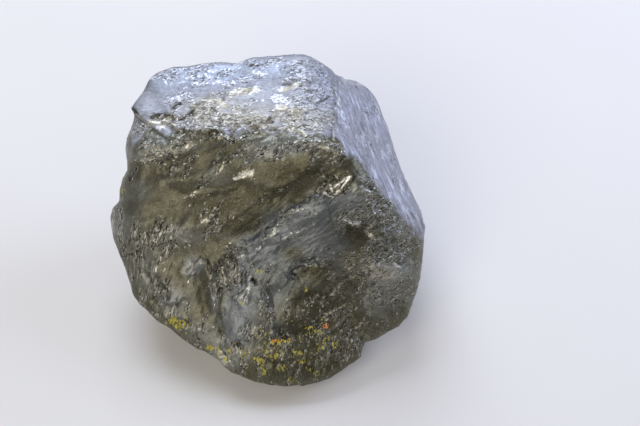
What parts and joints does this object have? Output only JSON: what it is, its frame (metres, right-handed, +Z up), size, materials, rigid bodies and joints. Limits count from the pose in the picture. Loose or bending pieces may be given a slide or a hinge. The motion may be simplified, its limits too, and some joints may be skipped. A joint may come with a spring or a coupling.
{
  "type": "graphite specimen",
  "caption": "Fist-sized broken lump of massive, foliated graphite with a bevelled top, a steep striated side and a sloping hummocky front, resting on a flat underside.",
  "frame": {"origin": "middle of the lump's box, at the level of its flat underside", "axes": "+Z up out of the flat underside; the sloping front faces -Y and the steep striated side faces +X"},
  "size_m": [0.082, 0.0716, 0.0549],
  "materials": {
    "graphite": "metallic grey, satin to dull, with yellow crust specks low on the front"
  },
  "bodies": {
    "root": {"graphite_lump": "graphite"}
  },
  "joints": []
}
